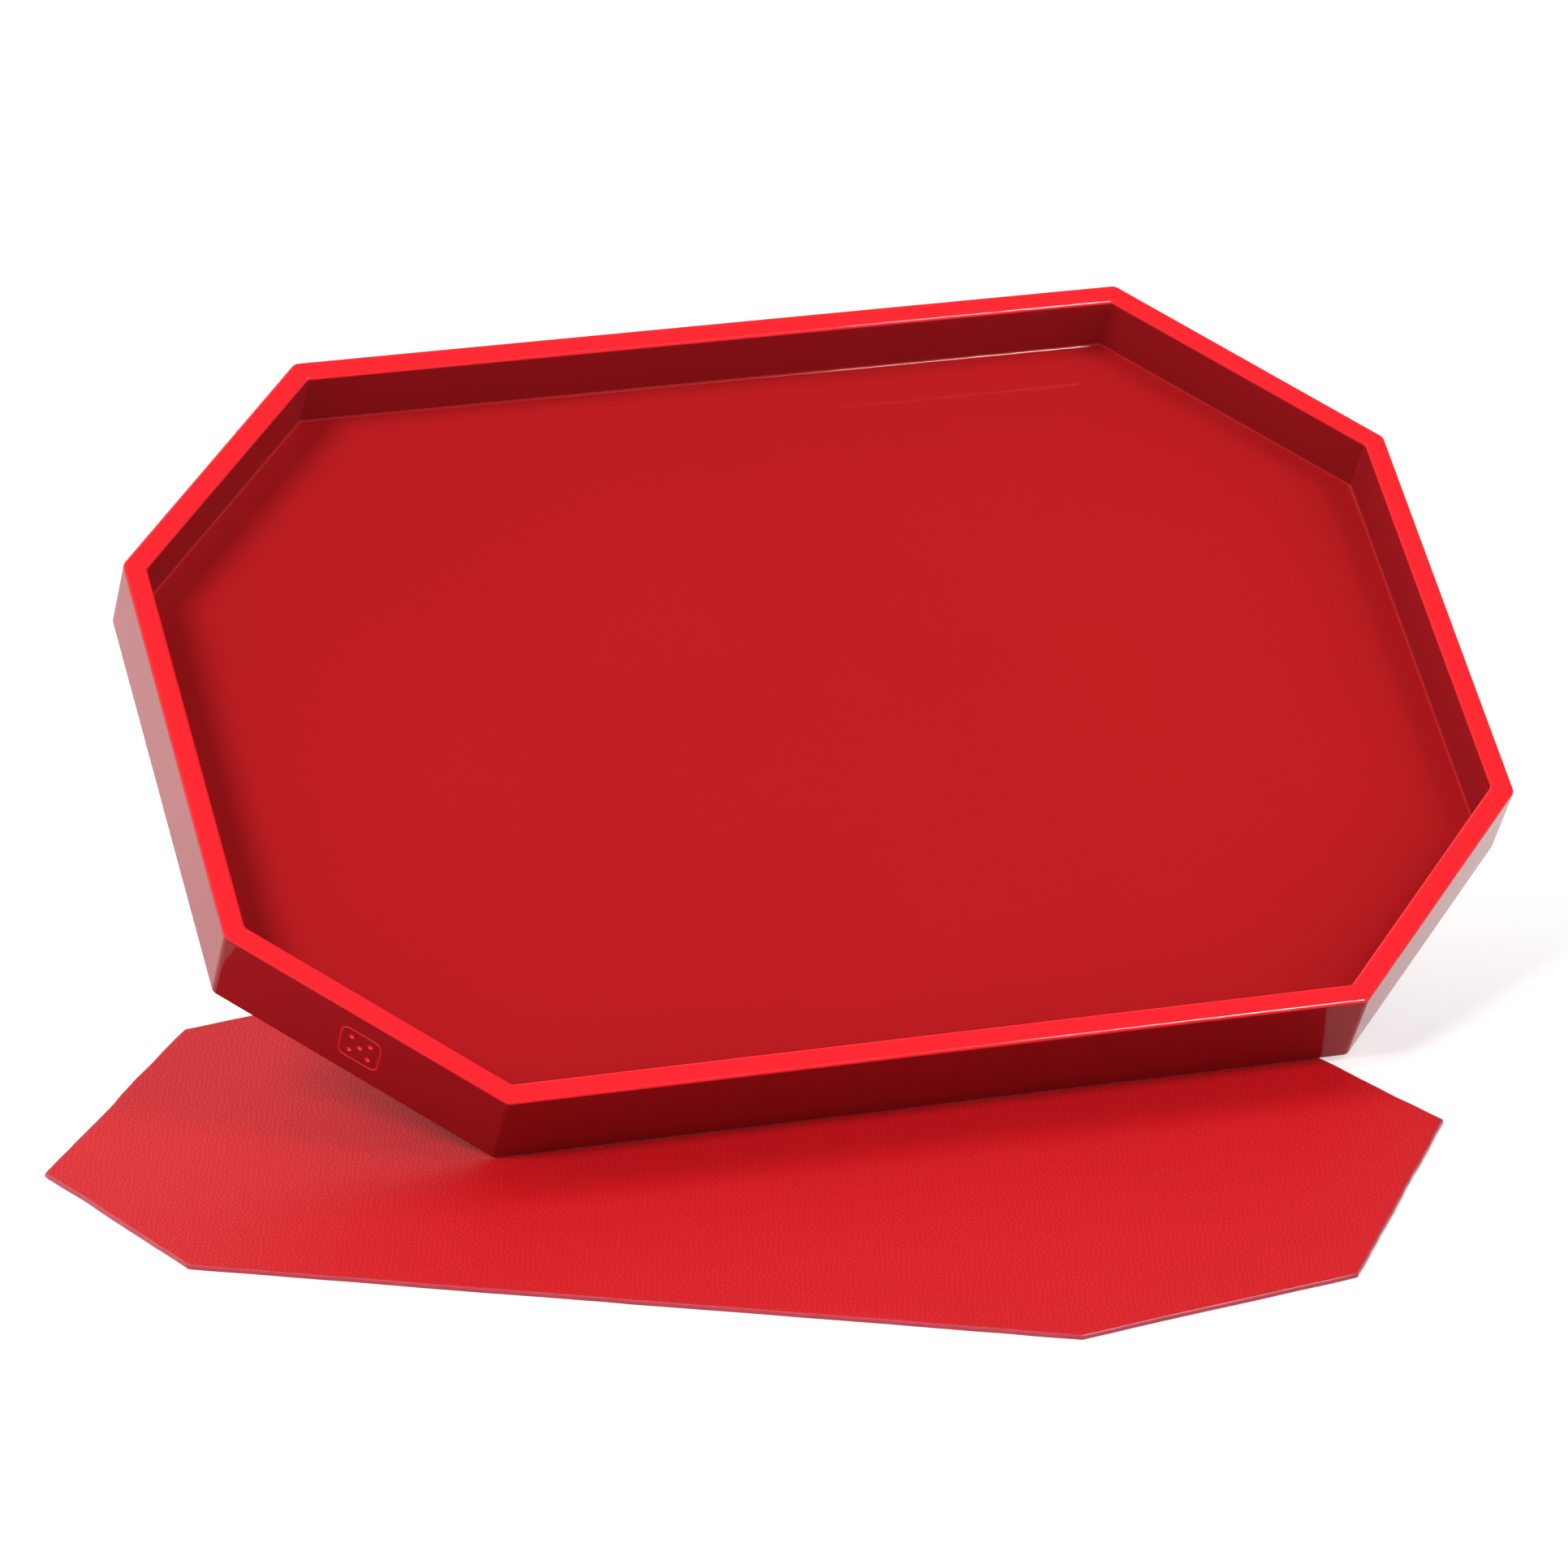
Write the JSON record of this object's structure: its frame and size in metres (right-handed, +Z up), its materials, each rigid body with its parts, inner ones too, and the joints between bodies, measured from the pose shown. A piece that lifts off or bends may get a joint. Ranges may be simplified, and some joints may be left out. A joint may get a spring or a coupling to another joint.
{
  "type": "dice tray with loose mat",
  "caption": "Shallow long-octagon lacquered tray with mitred walls, leaning on its long lower edge, with a flat loose leather mat of the same outline lying under it.",
  "frame": {"origin": "middle of the mat's underside, on the table", "axes": "+X along the tray's long sides, +Y towards the tray's raised rear wall, +Z up from the table"},
  "size_m": [0.4682, 0.4198, 0.1932],
  "materials": {
    "lacquer": "red high-gloss lacquer on wood",
    "spline_wood": "plain, glued in",
    "suede": "matt suede",
    "grained_leather": "pebbled grain, painted edge",
    "fibreboard": "plain board"
  },
  "bodies": {
    "mat": {"mat_leather": "grained_leather", "mat_stiffener": "fibreboard", "mat_backing": "suede"},
    "tray": {"wall_front": "lacquer", "wall_front_right": "lacquer", "wall_right": "lacquer", "wall_rear_right": "lacquer", "wall_rear": "lacquer", "wall_rear_left": "lacquer", "wall_left": "lacquer", "wall_front_left": "lacquer", "floor_panel": "lacquer", "mitre_splines": "spline_wood", "underside_liner": "suede"}
  },
  "joints": [
    {"name": "tray_lean", "type": "hinge", "parent": "mat", "child": "tray", "pos_m": [0.061, 0.0155, 0.00265], "axis": [1, 0, 0], "range_deg": [-37.2, 52.8]}
  ]
}
